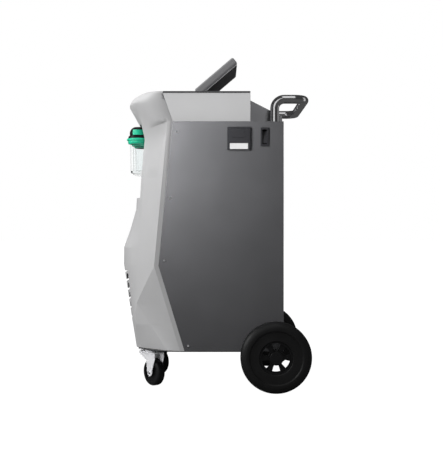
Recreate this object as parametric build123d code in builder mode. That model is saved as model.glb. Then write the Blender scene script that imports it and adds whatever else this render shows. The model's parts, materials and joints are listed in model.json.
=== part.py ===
# Air conditioning recharge station, standing on its wheels. Millimetres.
# X is across the machine, -Y is its front, +Y its handle side, Z is up.
# The origin is on the floor, under the middle of the whole machine.
import os
from math import cos, pi, radians, sin
from build123d import *

os.makedirs("parts", exist_ok=True)

# Sheet-steel body
body_width = 520.0
sheet = 2.0
body_back = 251.0
body_bottom = 138.0
body_top = 959.0
kink_height = 443.0
front_edge_top = -147.0
front_edge_kink = -196.0
front_edge_foot = -103.0
back_flange = 14.0

# Base tray and axle
tray_sheet = 3.0
tray_bottom = 135.5
tray_front = -276.0
tray_step = 198.0
tray_shelf_rise = 2.5
tray_flange = 32.0
bracket_x = 203.0
bracket_thickness = 6.0
bracket_radius = 22.0
axle_diameter = 20.0
running_clearance = 0.05
gap = 0.3

# Rear wheels
wheel_diameter = 250.0
wheel_width = 62.0
wheel_plane_x = 322.0
wheel_y = 220.0
tyre_band = 33.0
rim_diameter = 114.0
hub_diameter = 52.0
hub_width = 42.0
spoke_count = 6
nut_width = 24.0
nut_height = 9.0

# Casters
caster_wheel_diameter = 100.0
caster_wheel_width = 32.0
caster_x = 135.0
caster_y = -238.0
caster_trail = 30.0
caster_swing = 50.0
caster_plate_x = 76.0
caster_plate_y = 72.0
caster_plate_thickness = 3.0
caster_bolt_x = 56.0
caster_bolt_y = 50.0
fork_sheet = 3.0
fork_inner = 37.0
caster_axle_diameter = 10.0

# Moulded front cover and hood
cover_wall = 4.0
cover_strip = 16.0
cover_bottom = 139.0
cheek_x = 170.0
nose_height = 1030.0
nose_front = -318.0
hood_squareness = 2.6
niche_half_width = 138.0
niche_bottom = 690.0
niche_top = 962.0
niche_back = -228.0
louver_half_width = 100.0
louver_bottom = 214.0
louver_pitch = 34.0
louver_count = 6
louver_opening = 8.0
louver_thickness = 3.0

# Console on top of the body
console_back = 132.5
deck_top = 1068.0
deck_thickness = 6.0
tool_pad_x = 200.0
tool_pad_y = 12.0
tool_pad_width = 88.0
tool_pad_length = 200.0
tool_pad_height = 1.0
seam_lean = 0.34
seam_gap = 0.5
console_wall = 3.0

# Display
display_width = 286.0
display_length = 186.0
display_thickness = 32.7
display_tilt = 40.4
display_hinge_y = -49.5
display_hinge_z = 1086.5
display_pin = 8.0
display_tail = 15.0
knuckle_radius = 8.0
knuckle_length = 112.0

# Handle and hood behind the console
handle_tube = 32.0
handle_wall = 2.0
handle_x = 238.0
handle_y = 220.0
handle_reach = 329.0
handle_height = 1040.5
handle_foot = 700.0
handle_bend = 34.0
handle_corner = 42.0
rear_hood_half_width = 216.0
rear_hood_front_height = 1038.0
rear_hood_back_height = 981.0
clamp_height = 26.0

# Oil bottles under the hood
bottle_pitch = 90.0
bottle_y = -281.0
bottle_diameter = 65.0
bottle_wall = 2.0
bottle_bottom = 782.0
ring_bottom = 891.0
ring_height = 21.0
ring_diameter = 89.0
head_diameter = 74.0
head_top = 955.0
button_height = 19.0
button_travel = 2.0
button_depth = 4.0

# Printer and switch in the right side panel
printer_y = 91.0
printer_z = 898.0
printer_size = 82.4
printer_lip = 5.0
printer_depth = 58.0
paper_width = 64.6
paper_roll_diameter = 44.0
latch_width = 42.5
latch_height = 30.7
switch_y = 183.0
switch_z = 903.5
switch_width = 29.3
switch_height = 66.7
switch_lip = 2.5

# Back of the machine
fan_z = 620.0
fan_diameter = 200.0
fan_blades = 7
shroud_size = 236.0
shroud_depth = 26.0
back_louver_width = 200.0
back_louver_pitch = 24.0
back_louver_count = 9
inlet_x = 170.0
inlet_z = 215.0
port_z = 330.0
port_spacing = 70.0
port_diameter = 11.1
port_length = 16.0
port_recess = 34.0
port_bay_width = 124.0
port_bay_height = 64.0

# Inside
bulkhead_y = -88.0
tank_diameter = 216.0
tank_height = 400.0
tank_x = -120.0
tank_y = 52.0
scale_height = 22.0

# Worked out from the sizes above
half_width = body_width / 2
inner_half = half_width - sheet
tray_top = tray_bottom + tray_sheet
axle_z = wheel_diameter / 2
deck_bottom = deck_top - deck_thickness
caster_axle_z = caster_wheel_diameter / 2
upper_lean = (front_edge_top - front_edge_kink) / (body_top - kink_height)
lower_lean = (front_edge_foot - front_edge_kink) / (kink_height - body_bottom)


def panel_edge(z):
    """The y of the seam between side panel and front cover at height z."""
    if z >= kink_height:
        return front_edge_kink + (z - kink_height) * upper_lean
    return front_edge_kink + (kink_height - z) * lower_lean


def seam_edge(z):
    """The y of the leaning seam between hood and console at height z."""
    return front_edge_top - (z - body_top) * seam_lean


def save(piece, name):
    """Label a finished piece and write it under its own name."""
    piece.part.label = name
    export_step(piece.part, f"parts/{name}.step")


# Base tray: folded steel floor, side flanges, a raised shelf over the axle and two axle brackets
tray_outline = [
    (inner_half, tray_step), (inner_half, front_edge_foot), (inner_half - 8, tray_front + 84),
    (half_width - 40, tray_front + 46), (caster_x + 24, tray_front),
]
shelf_bottom = tray_bottom + tray_shelf_rise
flange_length = body_back - sheet - front_edge_foot - 12
hub_outer_x = wheel_plane_x + 16
hub_inner_x = hub_outer_x - hub_width
sleeve_radius = body_bottom - axle_z - gap
flange_middle = body_back - sheet - flange_length / 2

with BuildPart() as base_tray:
    with BuildSketch(Plane.XY.offset(tray_bottom)):
        with BuildLine():
            Polyline(tray_outline + [(-x, y) for x, y in reversed(tray_outline)], close=True)
        make_face()
    extrude(amount=tray_sheet)
    shelf_depth = body_back - sheet - tray_step
    with Locations((0, tray_step - tray_sheet / 2, tray_bottom)):
        Box(2 * inner_half, tray_sheet, tray_shelf_rise + tray_sheet,
            align=(Align.CENTER, Align.CENTER, Align.MIN))
    with Locations((0, tray_step - tray_sheet, shelf_bottom)):
        Box(2 * inner_half, shelf_depth + tray_sheet, tray_sheet,
            align=(Align.CENTER, Align.MIN, Align.MIN))
    with Locations((0, body_back - sheet, shelf_bottom)):
        Box(2 * inner_half, tray_sheet, tray_flange, align=(Align.CENTER, Align.MAX, Align.MIN))
    for side in (-1, 1):
        with Locations((side * (inner_half - tray_sheet / 2), flange_middle, shelf_bottom)):
            Box(tray_sheet, flange_length, tray_flange, align=(Align.CENTER, Align.CENTER, Align.MIN))
        with Locations((side * (inner_half - tray_sheet / 2), flange_middle - shelf_depth / 2, tray_bottom)):
            Box(tray_sheet, flange_length - shelf_depth, tray_shelf_rise,
                align=(Align.CENTER, Align.CENTER, Align.MIN))
        with BuildSketch(Plane.YZ.offset(side * bracket_x)):
            with BuildLine():
                Polyline((wheel_y - bracket_radius, axle_z), (wheel_y - bracket_radius, shelf_bottom),
                         (wheel_y + bracket_radius, shelf_bottom), (wheel_y + bracket_radius, axle_z))
                ThreePointArc((wheel_y + bracket_radius, axle_z), (wheel_y, axle_z - bracket_radius),
                              (wheel_y - bracket_radius, axle_z))
            make_face()
            with Locations((wheel_y, axle_z)):
                Circle(axle_diameter / 2 + running_clearance, mode=Mode.SUBTRACT)
        extrude(amount=bracket_thickness / 2, both=True)
        with BuildSketch(Plane.YZ.offset(side * (bracket_x + bracket_thickness / 2))):
            with Locations((wheel_y, axle_z)):
                Circle(sleeve_radius)
                Circle(axle_diameter / 2 + running_clearance, mode=Mode.SUBTRACT)
        extrude(amount=side * (hub_inner_x - gap - bracket_x - bracket_thickness / 2))
save(base_tray, "base_tray")

# Rear axle and its end nuts
nut_inner_x = hub_outer_x + gap
axle_end_x = nut_inner_x + nut_height + 1
across_x = Plane((0, wheel_y, axle_z), x_dir=(0, 1, 0), z_dir=(1, 0, 0))

with BuildPart() as axle_shaft:
    with BuildSketch(across_x.offset(-axle_end_x)):
        Circle(axle_diameter / 2)
    extrude(amount=2 * axle_end_x)
    chamfer(axle_shaft.edges().filter_by(GeomType.CIRCLE), 1)
save(axle_shaft, "axle_shaft")

with BuildPart() as axle_nuts:
    for start in (nut_inner_x, -nut_inner_x - nut_height):
        with BuildSketch(across_x.offset(start)):
            RegularPolygon(nut_width / 2, 6, major_radius=False)
            Circle(axle_diameter / 2 + running_clearance, mode=Mode.SUBTRACT)
        extrude(amount=nut_height)
save(axle_nuts, "axle_nuts")

# Rear wheels: solid tyre on a moulded rim with open spokes, and a cap over the axle nut
tyre_radius = wheel_diameter / 2
tyre_half = wheel_width / 2
rim_radius = rim_diameter / 2
shoulder_radius = tyre_radius - tyre_band
rim_half = tyre_half - 9
disc_thickness = 7.0
cap_radius = 23.0
spoke_inner = hub_diameter / 2 + 1
spoke_outer = rim_radius - 7
spoke_opening = 34.0


def spoke_window(angle):
    """One open sector between two spokes, with rounded corners, around an angle."""
    with BuildSketch(mode=Mode.PRIVATE) as window:
        with BuildLine():
            half = radians(spoke_opening / 2)
            middle = radians(angle)
            inner = [(spoke_inner * cos(middle + s * half), spoke_inner * sin(middle + s * half))
                     for s in (-1, 0, 1)]
            outer = [(spoke_outer * cos(middle + s * half), spoke_outer * sin(middle + s * half))
                     for s in (1, 0, -1)]
            ThreePointArc(*inner)
            Line(inner[2], outer[0])
            ThreePointArc(*outer)
            Line(outer[2], inner[0])
        make_face()
        fillet(window.vertices(), 2.5)
    return window.sketch


for side, side_name in ((1, "right"), (-1, "left")):
    wheel_plane = Plane((side * wheel_plane_x, wheel_y, axle_z), x_dir=(0, side, 0), z_dir=(side, 0, 0))
    section_plane = Plane(wheel_plane.origin, x_dir=wheel_plane.z_dir, z_dir=(0, side, 0))
    wheel_axis = Axis(wheel_plane.origin, wheel_plane.z_dir)

    with BuildPart() as tyre:
        with BuildSketch(section_plane):
            with BuildLine():
                Line((-rim_half, rim_radius), (rim_half, rim_radius))
                Line((rim_half, rim_radius), (tyre_half - 4, rim_radius + 3))
                Line((tyre_half - 4, rim_radius + 3), (tyre_half - 4, shoulder_radius))
                Line((tyre_half - 4, shoulder_radius), (tyre_half, shoulder_radius + 2))
                ThreePointArc((tyre_half, shoulder_radius + 2), (tyre_half - 5, tyre_radius - 9),
                              (tyre_half - 17, tyre_radius))
                Line((tyre_half - 17, tyre_radius), (17 - tyre_half, tyre_radius))
                ThreePointArc((17 - tyre_half, tyre_radius), (5 - tyre_half, tyre_radius - 9),
                              (-tyre_half, shoulder_radius + 2))
                Line((-tyre_half, shoulder_radius + 2), (4 - tyre_half, shoulder_radius))
                Line((4 - tyre_half, shoulder_radius), (4 - tyre_half, rim_radius + 3))
                Line((4 - tyre_half, rim_radius + 3), (-rim_half, rim_radius))
            make_face()
        revolve(axis=wheel_axis)
    save(tyre, f"rear_tyre_{side_name}")

    with BuildPart() as rim:
        with BuildSketch(wheel_plane.offset(-rim_half)):
            Circle(rim_radius)
            Circle(rim_radius - 5, mode=Mode.SUBTRACT)
        extrude(amount=2 * rim_half)
        with BuildSketch(wheel_plane.offset(2)):
            Circle(rim_radius - 2)
            for spoke in range(spoke_count):
                add(spoke_window(360 / spoke_count * (spoke + 0.5)), mode=Mode.SUBTRACT)
        extrude(amount=disc_thickness)
        with BuildSketch(wheel_plane.offset(hub_inner_x - wheel_plane_x)):
            Circle(hub_diameter / 2)
        extrude(amount=hub_width)
        with BuildSketch(wheel_plane.offset(-wheel_width)):
            Circle(axle_diameter / 2 + running_clearance)
        extrude(amount=2 * wheel_width, mode=Mode.SUBTRACT)
    save(rim, f"rear_rim_{side_name}")

    with BuildPart() as hub_cap:
        with BuildSketch(wheel_plane.offset(hub_outer_x - wheel_plane_x)):
            Circle(cap_radius)
        extrude(amount=nut_height + 4)
        with BuildSketch(wheel_plane.offset(hub_outer_x - wheel_plane_x)):
            Circle(nut_width / 2 + 5)
        extrude(amount=nut_height + 2, mode=Mode.SUBTRACT)
        fillet(hub_cap.faces().sort_by(Axis(wheel_plane.origin, wheel_plane.z_dir))[-1].edges(), 1.5)
        with BuildSketch(wheel_plane.offset(hub_outer_x - wheel_plane_x + nut_height + 4)):
            Circle(10)
        extrude(amount=1)
    save(hub_cap, f"rear_hub_cap_{side_name}")

# Swivel casters: plate with raceway, zinc fork with its axle bolt, wheel
raceway_height = 10.0
fork_top = tray_bottom - caster_plate_thickness - raceway_height - gap
fork_half = fork_inner / 2
caster_tyre = 15.0
core_radius = caster_wheel_diameter / 2 - caster_tyre
bolt_radius = 6.5
crown_front = -36.0
crown_back = 62.0

for side, side_name in ((1, "right"), (-1, "left")):
    upright = Plane((side * caster_x, caster_y, 0))
    turned = Plane(upright.origin, x_dir=(cos(radians(caster_swing)), -sin(radians(caster_swing)), 0),
                   z_dir=(0, 0, 1))
    axle_plane = Plane(turned.from_local_coords((0, caster_trail, caster_axle_z)),
                       x_dir=turned.y_dir, z_dir=turned.x_dir)
    wheel_axis = Axis(axle_plane.origin, axle_plane.z_dir)

    with BuildPart() as caster_fork:
        with BuildSketch(turned.offset(fork_top)):
            Circle(28)
        extrude(amount=-fork_sheet)
        with BuildSketch(turned.offset(fork_top)):
            with Locations((0, (crown_back + crown_front) / 2)):
                Rectangle(fork_inner + 2 * fork_sheet, crown_back - crown_front)
        extrude(amount=-fork_sheet)
        for start in (fork_half, -fork_half - fork_sheet):
            with BuildSketch(axle_plane.offset(start)):
                with BuildLine():
                    top = fork_top - caster_axle_z
                    Polyline((-14, -3), (-20, top - 30), (crown_front - caster_trail, top - 8),
                             (crown_front - caster_trail, top), (crown_back - caster_trail, top),
                             (crown_back - caster_trail, top - 20), (14, 3))
                    ThreePointArc((14, 3), (4, -14), (-14, -3))
                make_face()
            extrude(amount=fork_sheet)
        with BuildSketch(axle_plane.offset(-2 * fork_half)):
            Circle(caster_axle_diameter / 2 + running_clearance)
        extrude(amount=4 * fork_half, mode=Mode.SUBTRACT)
    save(caster_fork, f"caster_fork_{side_name}")

    with BuildPart() as caster_axle:
        with BuildSketch(axle_plane.offset(-fork_half - fork_sheet)):
            Circle(caster_axle_diameter / 2)
        extrude(amount=fork_inner + 2 * fork_sheet)
        with BuildSketch(axle_plane.offset(fork_half + fork_sheet)):
            RegularPolygon(bolt_radius, 6)
        extrude(amount=5)
        with BuildSketch(axle_plane.offset(-fork_half - fork_sheet)):
            RegularPolygon(bolt_radius, 6)
        extrude(amount=-5)
    save(caster_axle, f"caster_axle_{side_name}")

    with BuildPart() as caster_wheel:
        with BuildSketch(axle_plane.offset(-caster_wheel_width / 2)):
            Circle(caster_wheel_diameter / 2)
        extrude(amount=caster_wheel_width)
        fillet(caster_wheel.edges().filter_by(GeomType.CIRCLE), 9)
        for start, depth in ((caster_wheel_width / 2, -6), (-caster_wheel_width / 2, 6)):
            with BuildSketch(axle_plane.offset(start)):
                Circle(core_radius)
            extrude(amount=depth, mode=Mode.SUBTRACT)
        with BuildSketch(axle_plane.offset(-fork_half + gap)):
            Circle(11)
        extrude(amount=fork_inner - 2 * gap)
        with BuildSketch(axle_plane.offset(-fork_half)):
            Circle(caster_axle_diameter / 2 + running_clearance)
        extrude(amount=fork_inner, mode=Mode.SUBTRACT)
    save(caster_wheel, f"caster_wheel_{side_name}")

with BuildPart() as caster_plates:
    for side in (-1, 1):
        upright = Plane((side * caster_x, caster_y, tray_bottom - caster_plate_thickness))
        with BuildSketch(upright):
            RectangleRounded(caster_plate_x, caster_plate_y, 5)
        extrude(amount=caster_plate_thickness)
        with BuildSketch(upright):
            Circle(27)
        extrude(amount=-raceway_height, taper=12)
save(caster_plates, "caster_plates")

with BuildPart() as caster_bolts:
    for side in (-1, 1):
        with BuildSketch(Plane((side * caster_x, caster_y, tray_bottom - caster_plate_thickness))):
            with GridLocations(caster_bolt_x, caster_bolt_y, 2, 2):
                RegularPolygon(5.5, 6)
        extrude(amount=-4)
save(caster_bolts, "caster_bolts")

# Side panels of folded sheet, with the printer and switch cut-outs on the right one
panel_outline = [
    (body_back, body_bottom), (body_back, body_top), (front_edge_top, body_top),
    (front_edge_kink, kink_height), (front_edge_foot, body_bottom),
]
screw_inset = 19.0
screw_heights = (924.0, 685.0, 462.0, 157.0)
screw_places = [(panel_edge(z) + screw_inset, z) for z in screw_heights]
printer_cut = printer_size - 10
switch_cut_width = switch_width - 7
switch_cut_height = switch_height - 9

for side, side_name in ((1, "right"), (-1, "left")):
    outside = Plane((side * half_width, 0, 0), x_dir=(0, 1, 0), z_dir=(1, 0, 0))
    with BuildPart() as side_panel:
        with BuildSketch(outside):
            with BuildLine():
                Polyline(panel_outline, close=True)
            make_face()
            with Locations(screw_places):
                Circle(2.2, mode=Mode.SUBTRACT)
            if side == 1:
                with Locations((printer_y, printer_z)):
                    Rectangle(printer_cut, printer_cut, mode=Mode.SUBTRACT)
                with Locations((switch_y, switch_z)):
                    Rectangle(switch_cut_width, switch_cut_height, mode=Mode.SUBTRACT)
        extrude(amount=-side * sheet)
        with Locations((side * half_width, body_back, body_bottom + tray_shelf_rise)):
            Box(back_flange, sheet, body_top - body_bottom - tray_shelf_rise,
                align=(Align.MAX if side == 1 else Align.MIN, Align.MAX, Align.MIN))
    save(side_panel, f"side_panel_{side_name}")

with BuildPart() as panel_screws:
    for side in (-1, 1):
        for y, z in screw_places:
            with BuildSketch(Plane((side * half_width, y, z), x_dir=(0, 1, 0), z_dir=(side, 0, 0))):
                Circle(3.6)
            extrude(amount=1.6, taper=20)
            with BuildSketch(Plane((side * half_width, y, z), x_dir=(0, 1, 0), z_dir=(side, 0, 0))):
                Circle(2)
            extrude(amount=-sheet)
save(panel_screws, "panel_screws")

# Front cover: facets lofted between plan sections, with the rounded hood over it
# Each row is height, centre front, corner of the front (x, y) and the knuckle (x, y) of the side facet
cover_rows = [
    (cover_bottom, -295, (147, -282), (243, -168)),
    (229, -311, (166, -287), (204.5, -229.3)),
    (305, -324, (170, -282), (172, -281)),
    (kink_height, -345, (170, -277), (258, -212)),
    (505, -344, (170, -273), (258, -206.5)),
    (571, -320, (170, -269), (258, -200.5)),
    (649, -297, (170, -262), (258, -193)),
    (773, -291, (170, -254), (258, -181.5)),
    (903, -283, (170, -240), (258, -169.5)),
    (body_top, -280, (170, -233), (258, -165)),
]


def cover_section(row, inset=0.0):
    """Closed plan section of the cover at one row's height, drawn inset by a wall."""
    z, centre, corner, knuckle = row
    shrink = (half_width - inset) / half_width
    back = panel_edge(max(z, body_bottom)) + (60 if inset else 0)
    strip = (half_width * shrink, panel_edge(max(z, body_bottom)) - cover_strip + inset)
    side_points = [(corner[0] * shrink, corner[1] + inset), (knuckle[0] * shrink, knuckle[1] + inset),
                   strip, (half_width * shrink, back)]
    with BuildSketch(Plane.XY.offset(z), mode=Mode.PRIVATE) as section:
        with BuildLine():
            front_right, front_left = side_points[0], (-side_points[0][0], side_points[0][1])
            ThreePointArc(front_left, (0, centre + inset), front_right)
            Polyline(side_points)
            Line(side_points[-1], (-side_points[-1][0], side_points[-1][1]))
            Polyline([(-x, y) for x, y in reversed(side_points)])
        make_face()
    return section.sketch


def hood_section(z, width, back, depth, inset=0.0):
    """Closed plan section of the hood: a squared-off half ellipse in front of a straight back."""
    width, depth = width - inset, depth - inset
    back_line = back + (40 if inset else 0)
    steps = [-1, -0.985, -0.9, -0.72, -0.45, 0, 0.45, 0.72, 0.9, 0.985, 1]
    front = [(width * s, back - depth * (1 - abs(s) ** hood_squareness) ** (1 / hood_squareness))
             for s in steps]
    with BuildSketch(Plane.XY.offset(z), mode=Mode.PRIVATE) as section:
        with BuildLine():
            Spline(front)
            Polyline(front[-1], (width, back_line + 0.01), (-width, back_line + 0.01), front[0])
        make_face()
    return section.sketch


hood_root = (884.0, half_width - 60, -197.0, 65.0)
hood_lip = (body_top, half_width - 2, seam_edge(body_top), 131.0)
hood_nose = (nose_height, half_width - 2, seam_edge(nose_height), seam_edge(nose_height) - nose_front)
dome_drop = 60.0


def dome_rows(top, inset=0.0):
    """Sections of the hood's rounded top, from the nose line up to the flat top."""
    rows = []
    for turn in (0, 35, 65, 90):
        z = nose_height + (top - nose_height) * sin(radians(turn))
        drop = dome_drop * (1 - cos(radians(turn)))
        back = seam_edge(z)
        rows.append(hood_section(z, half_width - 2 - 0.08 * drop, back, back - nose_front - drop, inset))
    return rows


with BuildPart() as cover_outside:
    loft([cover_section(row) for row in cover_rows], ruled=True)
    loft([hood_section(*row) for row in (hood_root, hood_lip, hood_nose)], ruled=True)
    loft(dome_rows(deck_top))

liner = 3.0
niche_centre = (niche_bottom + niche_top) / 2
niche_height = niche_top - niche_bottom
with BuildPart() as cover_hollow:
    loft([cover_section(row, cover_wall) for row in cover_rows], ruled=True)
    with BuildSketch(Plane.XY.offset(cover_bottom - 1)):
        add(cover_section(cover_rows[0], cover_wall).moved(Location((0, 0, -cover_rows[0][0]))))
    extrude(amount=2)
    loft([hood_section(*row, cover_wall) for row in (hood_root, hood_lip, hood_nose)], ruled=True)
    loft(dome_rows(deck_top - cover_wall, cover_wall))
    with Locations((0, niche_back + liner, niche_centre)):
        Box(2 * (niche_half_width + liner), 200, niche_height + 2 * liner,
            align=(Align.CENTER, Align.MAX, Align.CENTER), mode=Mode.SUBTRACT)

tuck = 30.0
tuck_bottom = shelf_bottom + tray_flange + 4
louver_top = louver_bottom + louver_count * louver_pitch
louver_rib = 26.0


def front_line(z):
    """The y of the cover's centre front at height z, between its rows."""
    for low, high in zip(cover_rows, cover_rows[1:]):
        if low[0] <= z <= high[0]:
            return low[1] + (high[1] - low[1]) * (z - low[0]) / (high[0] - low[0])
    return cover_rows[0][1]


with BuildPart() as louver_bank:
    for step in range(louver_count):
        foot = louver_bottom + step * louver_pitch
        face_top = foot + louver_pitch - louver_opening
        lip = front_line(face_top) + 1
        with BuildSketch(Plane.YZ.offset(-louver_half_width - 1)):
            with BuildLine():
                Polyline((front_line(foot) + 0.5, foot + 1), (lip + 2, face_top),
                         (lip + louver_rib, foot + louver_pitch - 2),
                         (lip + louver_rib, foot + louver_pitch - 6), (lip + 12, face_top - 4),
                         (front_line(foot) + 8, foot + 1), close=True)
            make_face()
        extrude(amount=2 * louver_half_width + 2)
    for side in (-1, 1):
        with BuildSketch(Plane.YZ.offset(side * louver_half_width)):
            with BuildLine():
                low, high = louver_bottom - 3, louver_top + 3
                Polyline((front_line(low) - 2, low), (front_line(low) + louver_rib + 4, low),
                         (front_line(high) + louver_rib + 4, high), (front_line(high) - 2, high), close=True)
            make_face()
        extrude(amount=side * louver_thickness)
    add(cover_outside.part, mode=Mode.INTERSECT)

with BuildPart() as front_cover:
    add(cover_outside.part)
    add(cover_hollow.part, mode=Mode.SUBTRACT)
    with Locations((0, niche_back, niche_centre)):
        Box(2 * niche_half_width, 200, niche_height, align=(Align.CENTER, Align.MAX, Align.CENTER),
            mode=Mode.SUBTRACT)
    with Locations((0, front_line(louver_top) - 20, louver_bottom)):
        Box(2 * louver_half_width, 70, louver_top - louver_bottom,
            align=(Align.CENTER, Align.MIN, Align.MIN), mode=Mode.SUBTRACT)
    for side in (-1, 1):
        with BuildSketch(Plane.YZ.offset(side * inner_half)):
            with BuildLine():
                edge = [(panel_edge(z), z) for z in (body_top - tuck, kink_height, tuck_bottom)]
                Polyline([(y - 8, z) for y, z in edge] + [(y + tuck, z) for y, z in reversed(edge)],
                         close=True)
            make_face()
        extrude(amount=-side * cover_wall)
    add(louver_bank.part)
save(front_cover, "front_cover")

# Console behind the hood, closed by the deck plate that the display stands on
console_front = seam_edge(deck_top) + seam_gap


def console_section(inset=0.0):
    """Cross section of the console: sides bulge a little and turn in at the top."""
    half = half_width - 3 - inset
    low, high = body_top + (0 if not inset else -1), deck_bottom - inset
    with BuildSketch(Plane.XZ, mode=Mode.PRIVATE) as section:
        with BuildLine():
            Line((-half + 2, low), (half - 2, low))
            ThreePointArc((half - 2, low), (half + 1.6, (low + high) / 2 - 14), (half + 1, high - 20))
            ThreePointArc((half + 1, high - 20), (half, high - 6), (half - 3, high))
            Line((half - 3, high), (3 - half, high))
            ThreePointArc((3 - half, high), (-half, high - 6), (-half - 1, high - 20))
            ThreePointArc((-half - 1, high - 20), (-half - 1.6, (low + high) / 2 - 14), (2 - half, low))
        make_face()
    return section.sketch


seam_cut = Plane((0, seam_edge(body_top) + seam_gap, body_top), x_dir=(1, 0, 0),
                 z_dir=(0, 1, seam_lean))

with BuildPart() as console_hollow:
    extrude(console_section(console_wall), amount=-console_back + console_wall)
    extrude(console_section(console_wall), amount=-console_front + 2 * tuck)

with BuildPart() as top_console:
    extrude(console_section(), amount=-console_back)
    extrude(console_section(), amount=-console_front + tuck)
    add(console_hollow.part, mode=Mode.SUBTRACT)
    split(bisect_by=seam_cut, keep=Keep.TOP)
save(top_console, "top_console")

with BuildPart() as deck_plate:
    with BuildSketch(Plane.XY.offset(deck_bottom)):
        with BuildLine():
            deck_half = half_width - 4
            Polyline((-deck_half, console_front + 2), (deck_half, console_front + 2),
                     (deck_half, console_back), (-deck_half, console_back), close=True)
        make_face()
    extrude(amount=deck_thickness)
    top_edges = deck_plate.edges().group_by(Axis.Z)[-1].filter_by(Axis.Y).sort_by(Axis.X)
    chamfer([top_edges[0], top_edges[-1]], 2)
    with BuildSketch(Plane.XY.offset(deck_top)):
        with Locations((-tool_pad_x, tool_pad_y), (tool_pad_x, tool_pad_y)):
            RectangleRounded(tool_pad_width, tool_pad_length, 10)
    extrude(amount=tool_pad_height)
save(deck_plate, "deck_plate")

# Display: a tilting housing with its screen and back cover, on a knuckle that stands on the deck
tilt = radians(display_tilt)
tilted = Plane((0, display_hinge_y, display_hinge_z), x_dir=(1, 0, 0), z_dir=(0, -sin(tilt), cos(tilt)))
half_thick = display_thickness / 2
display_middle = display_length / 2 - display_tail
display_top = display_length - display_tail
screen_border = 12.0
screen_depth = 3.0
screen_low = knuckle_radius + 2
back_inset = 3.0
back_rim = 2.0
back_low = knuckle_radius + 4
pin_reach = knuckle_length / 2 + 25
notch_high = knuckle_radius + 1.5

with BuildPart() as display_frame:
    with BuildSketch(tilted.offset(-half_thick)):
        with Locations((0, display_middle)):
            RectangleRounded(display_width, display_length, 8)
    extrude(amount=display_thickness)
    lower_edges = (display_frame.edges().filter_by(Axis.X)
                   .sort_by(lambda edge: (edge @ 0.5 - Vector(0, display_hinge_y, display_hinge_z)).dot(
                       tilted.y_dir))[:2].sort_by(Axis.Z))
    fillet(lower_edges[:1], display_tail - 2)
    fillet(display_frame.edges().filter_by(Axis.X).sort_by(Axis.Y)[:1], 7)
    with BuildSketch(tilted.offset(half_thick - screen_depth)):
        with Locations((0, (screen_low + display_top - screen_border) / 2)):
            RectangleRounded(display_width - 2 * screen_border, display_top - screen_border - screen_low, 4)
    extrude(amount=screen_depth, mode=Mode.SUBTRACT)
    with BuildSketch(tilted.offset(-half_thick)):
        with Locations((0, (back_low + display_top - 6) / 2)):
            RectangleRounded(display_width - 2 * back_rim, display_top - 6 - back_low, 7)
    extrude(amount=back_inset, mode=Mode.SUBTRACT)
    with BuildSketch(tilted.offset(-half_thick + back_inset)):
        with Locations((0, (back_low + display_top) / 2)):
            Rectangle(display_width - 16, display_top - 22 - back_low)
    extrude(amount=display_thickness - back_inset - screen_depth - 4, mode=Mode.SUBTRACT)
    with BuildSketch(tilted.offset(-half_thick)):
        with Locations((0, (notch_high - display_tail - 1) / 2)):
            Rectangle(knuckle_length + 2 * gap, notch_high + display_tail + 1)
    extrude(amount=half_thick + notch_high, mode=Mode.SUBTRACT)
    with BuildSketch(Plane.YZ.offset(-pin_reach - gap)):
        with Locations((display_hinge_y, display_hinge_z)):
            Circle(display_pin / 2 + running_clearance)
    extrude(amount=2 * (pin_reach + gap), mode=Mode.SUBTRACT)
save(display_frame, "display_frame")

with BuildPart() as display_screen:
    with BuildSketch(tilted.offset(half_thick - screen_depth)):
        with Locations((0, (screen_low + display_top - screen_border) / 2)):
            RectangleRounded(display_width - 2 * screen_border, display_top - screen_border - screen_low, 4)
    extrude(amount=screen_depth - 0.4)
save(display_screen, "display_screen")

with BuildPart() as display_back:
    with BuildSketch(tilted.offset(-half_thick)):
        with Locations((0, (back_low + display_top - 6) / 2)):
            RectangleRounded(display_width - 2 * back_rim, display_top - 6 - back_low, 7)
    extrude(amount=back_inset)
save(display_back, "display_back")

with BuildPart() as display_hinge:
    with BuildSketch(Plane.YZ.offset(-knuckle_length / 2)):
        with BuildLine():
            Polyline((display_hinge_y - knuckle_radius, display_hinge_z),
                     (display_hinge_y - knuckle_radius, deck_top),
                     (display_hinge_y + knuckle_radius, deck_top),
                     (display_hinge_y + knuckle_radius, display_hinge_z))
            ThreePointArc((display_hinge_y + knuckle_radius, display_hinge_z),
                          (display_hinge_y, display_hinge_z + knuckle_radius),
                          (display_hinge_y - knuckle_radius, display_hinge_z))
        make_face()
    extrude(amount=knuckle_length)
    with BuildSketch(Plane.YZ.offset(-pin_reach)):
        with Locations((display_hinge_y, display_hinge_z)):
            Circle(display_pin / 2)
    extrude(amount=2 * pin_reach)
save(display_hinge, "display_hinge")

# Chrome handle: one bent tube whose legs drop inside the body, held by saddle clamps
with BuildPart() as handle_bar:
    with BuildLine():
        handle_path = FilletPolyline(
            (-handle_x, handle_y, handle_foot), (-handle_x, handle_y, handle_height),
            (-handle_x, handle_reach, handle_height), (handle_x, handle_reach, handle_height),
            (handle_x, handle_y, handle_height), (handle_x, handle_y, handle_foot),
            radius=[handle_bend, handle_corner, handle_corner, handle_bend])
    with BuildSketch(Plane((-handle_x, handle_y, handle_foot))):
        Circle(handle_tube / 2)
        Circle(handle_tube / 2 - handle_wall, mode=Mode.SUBTRACT)
    sweep(path=handle_path)
save(handle_bar, "handle_bar")

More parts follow.
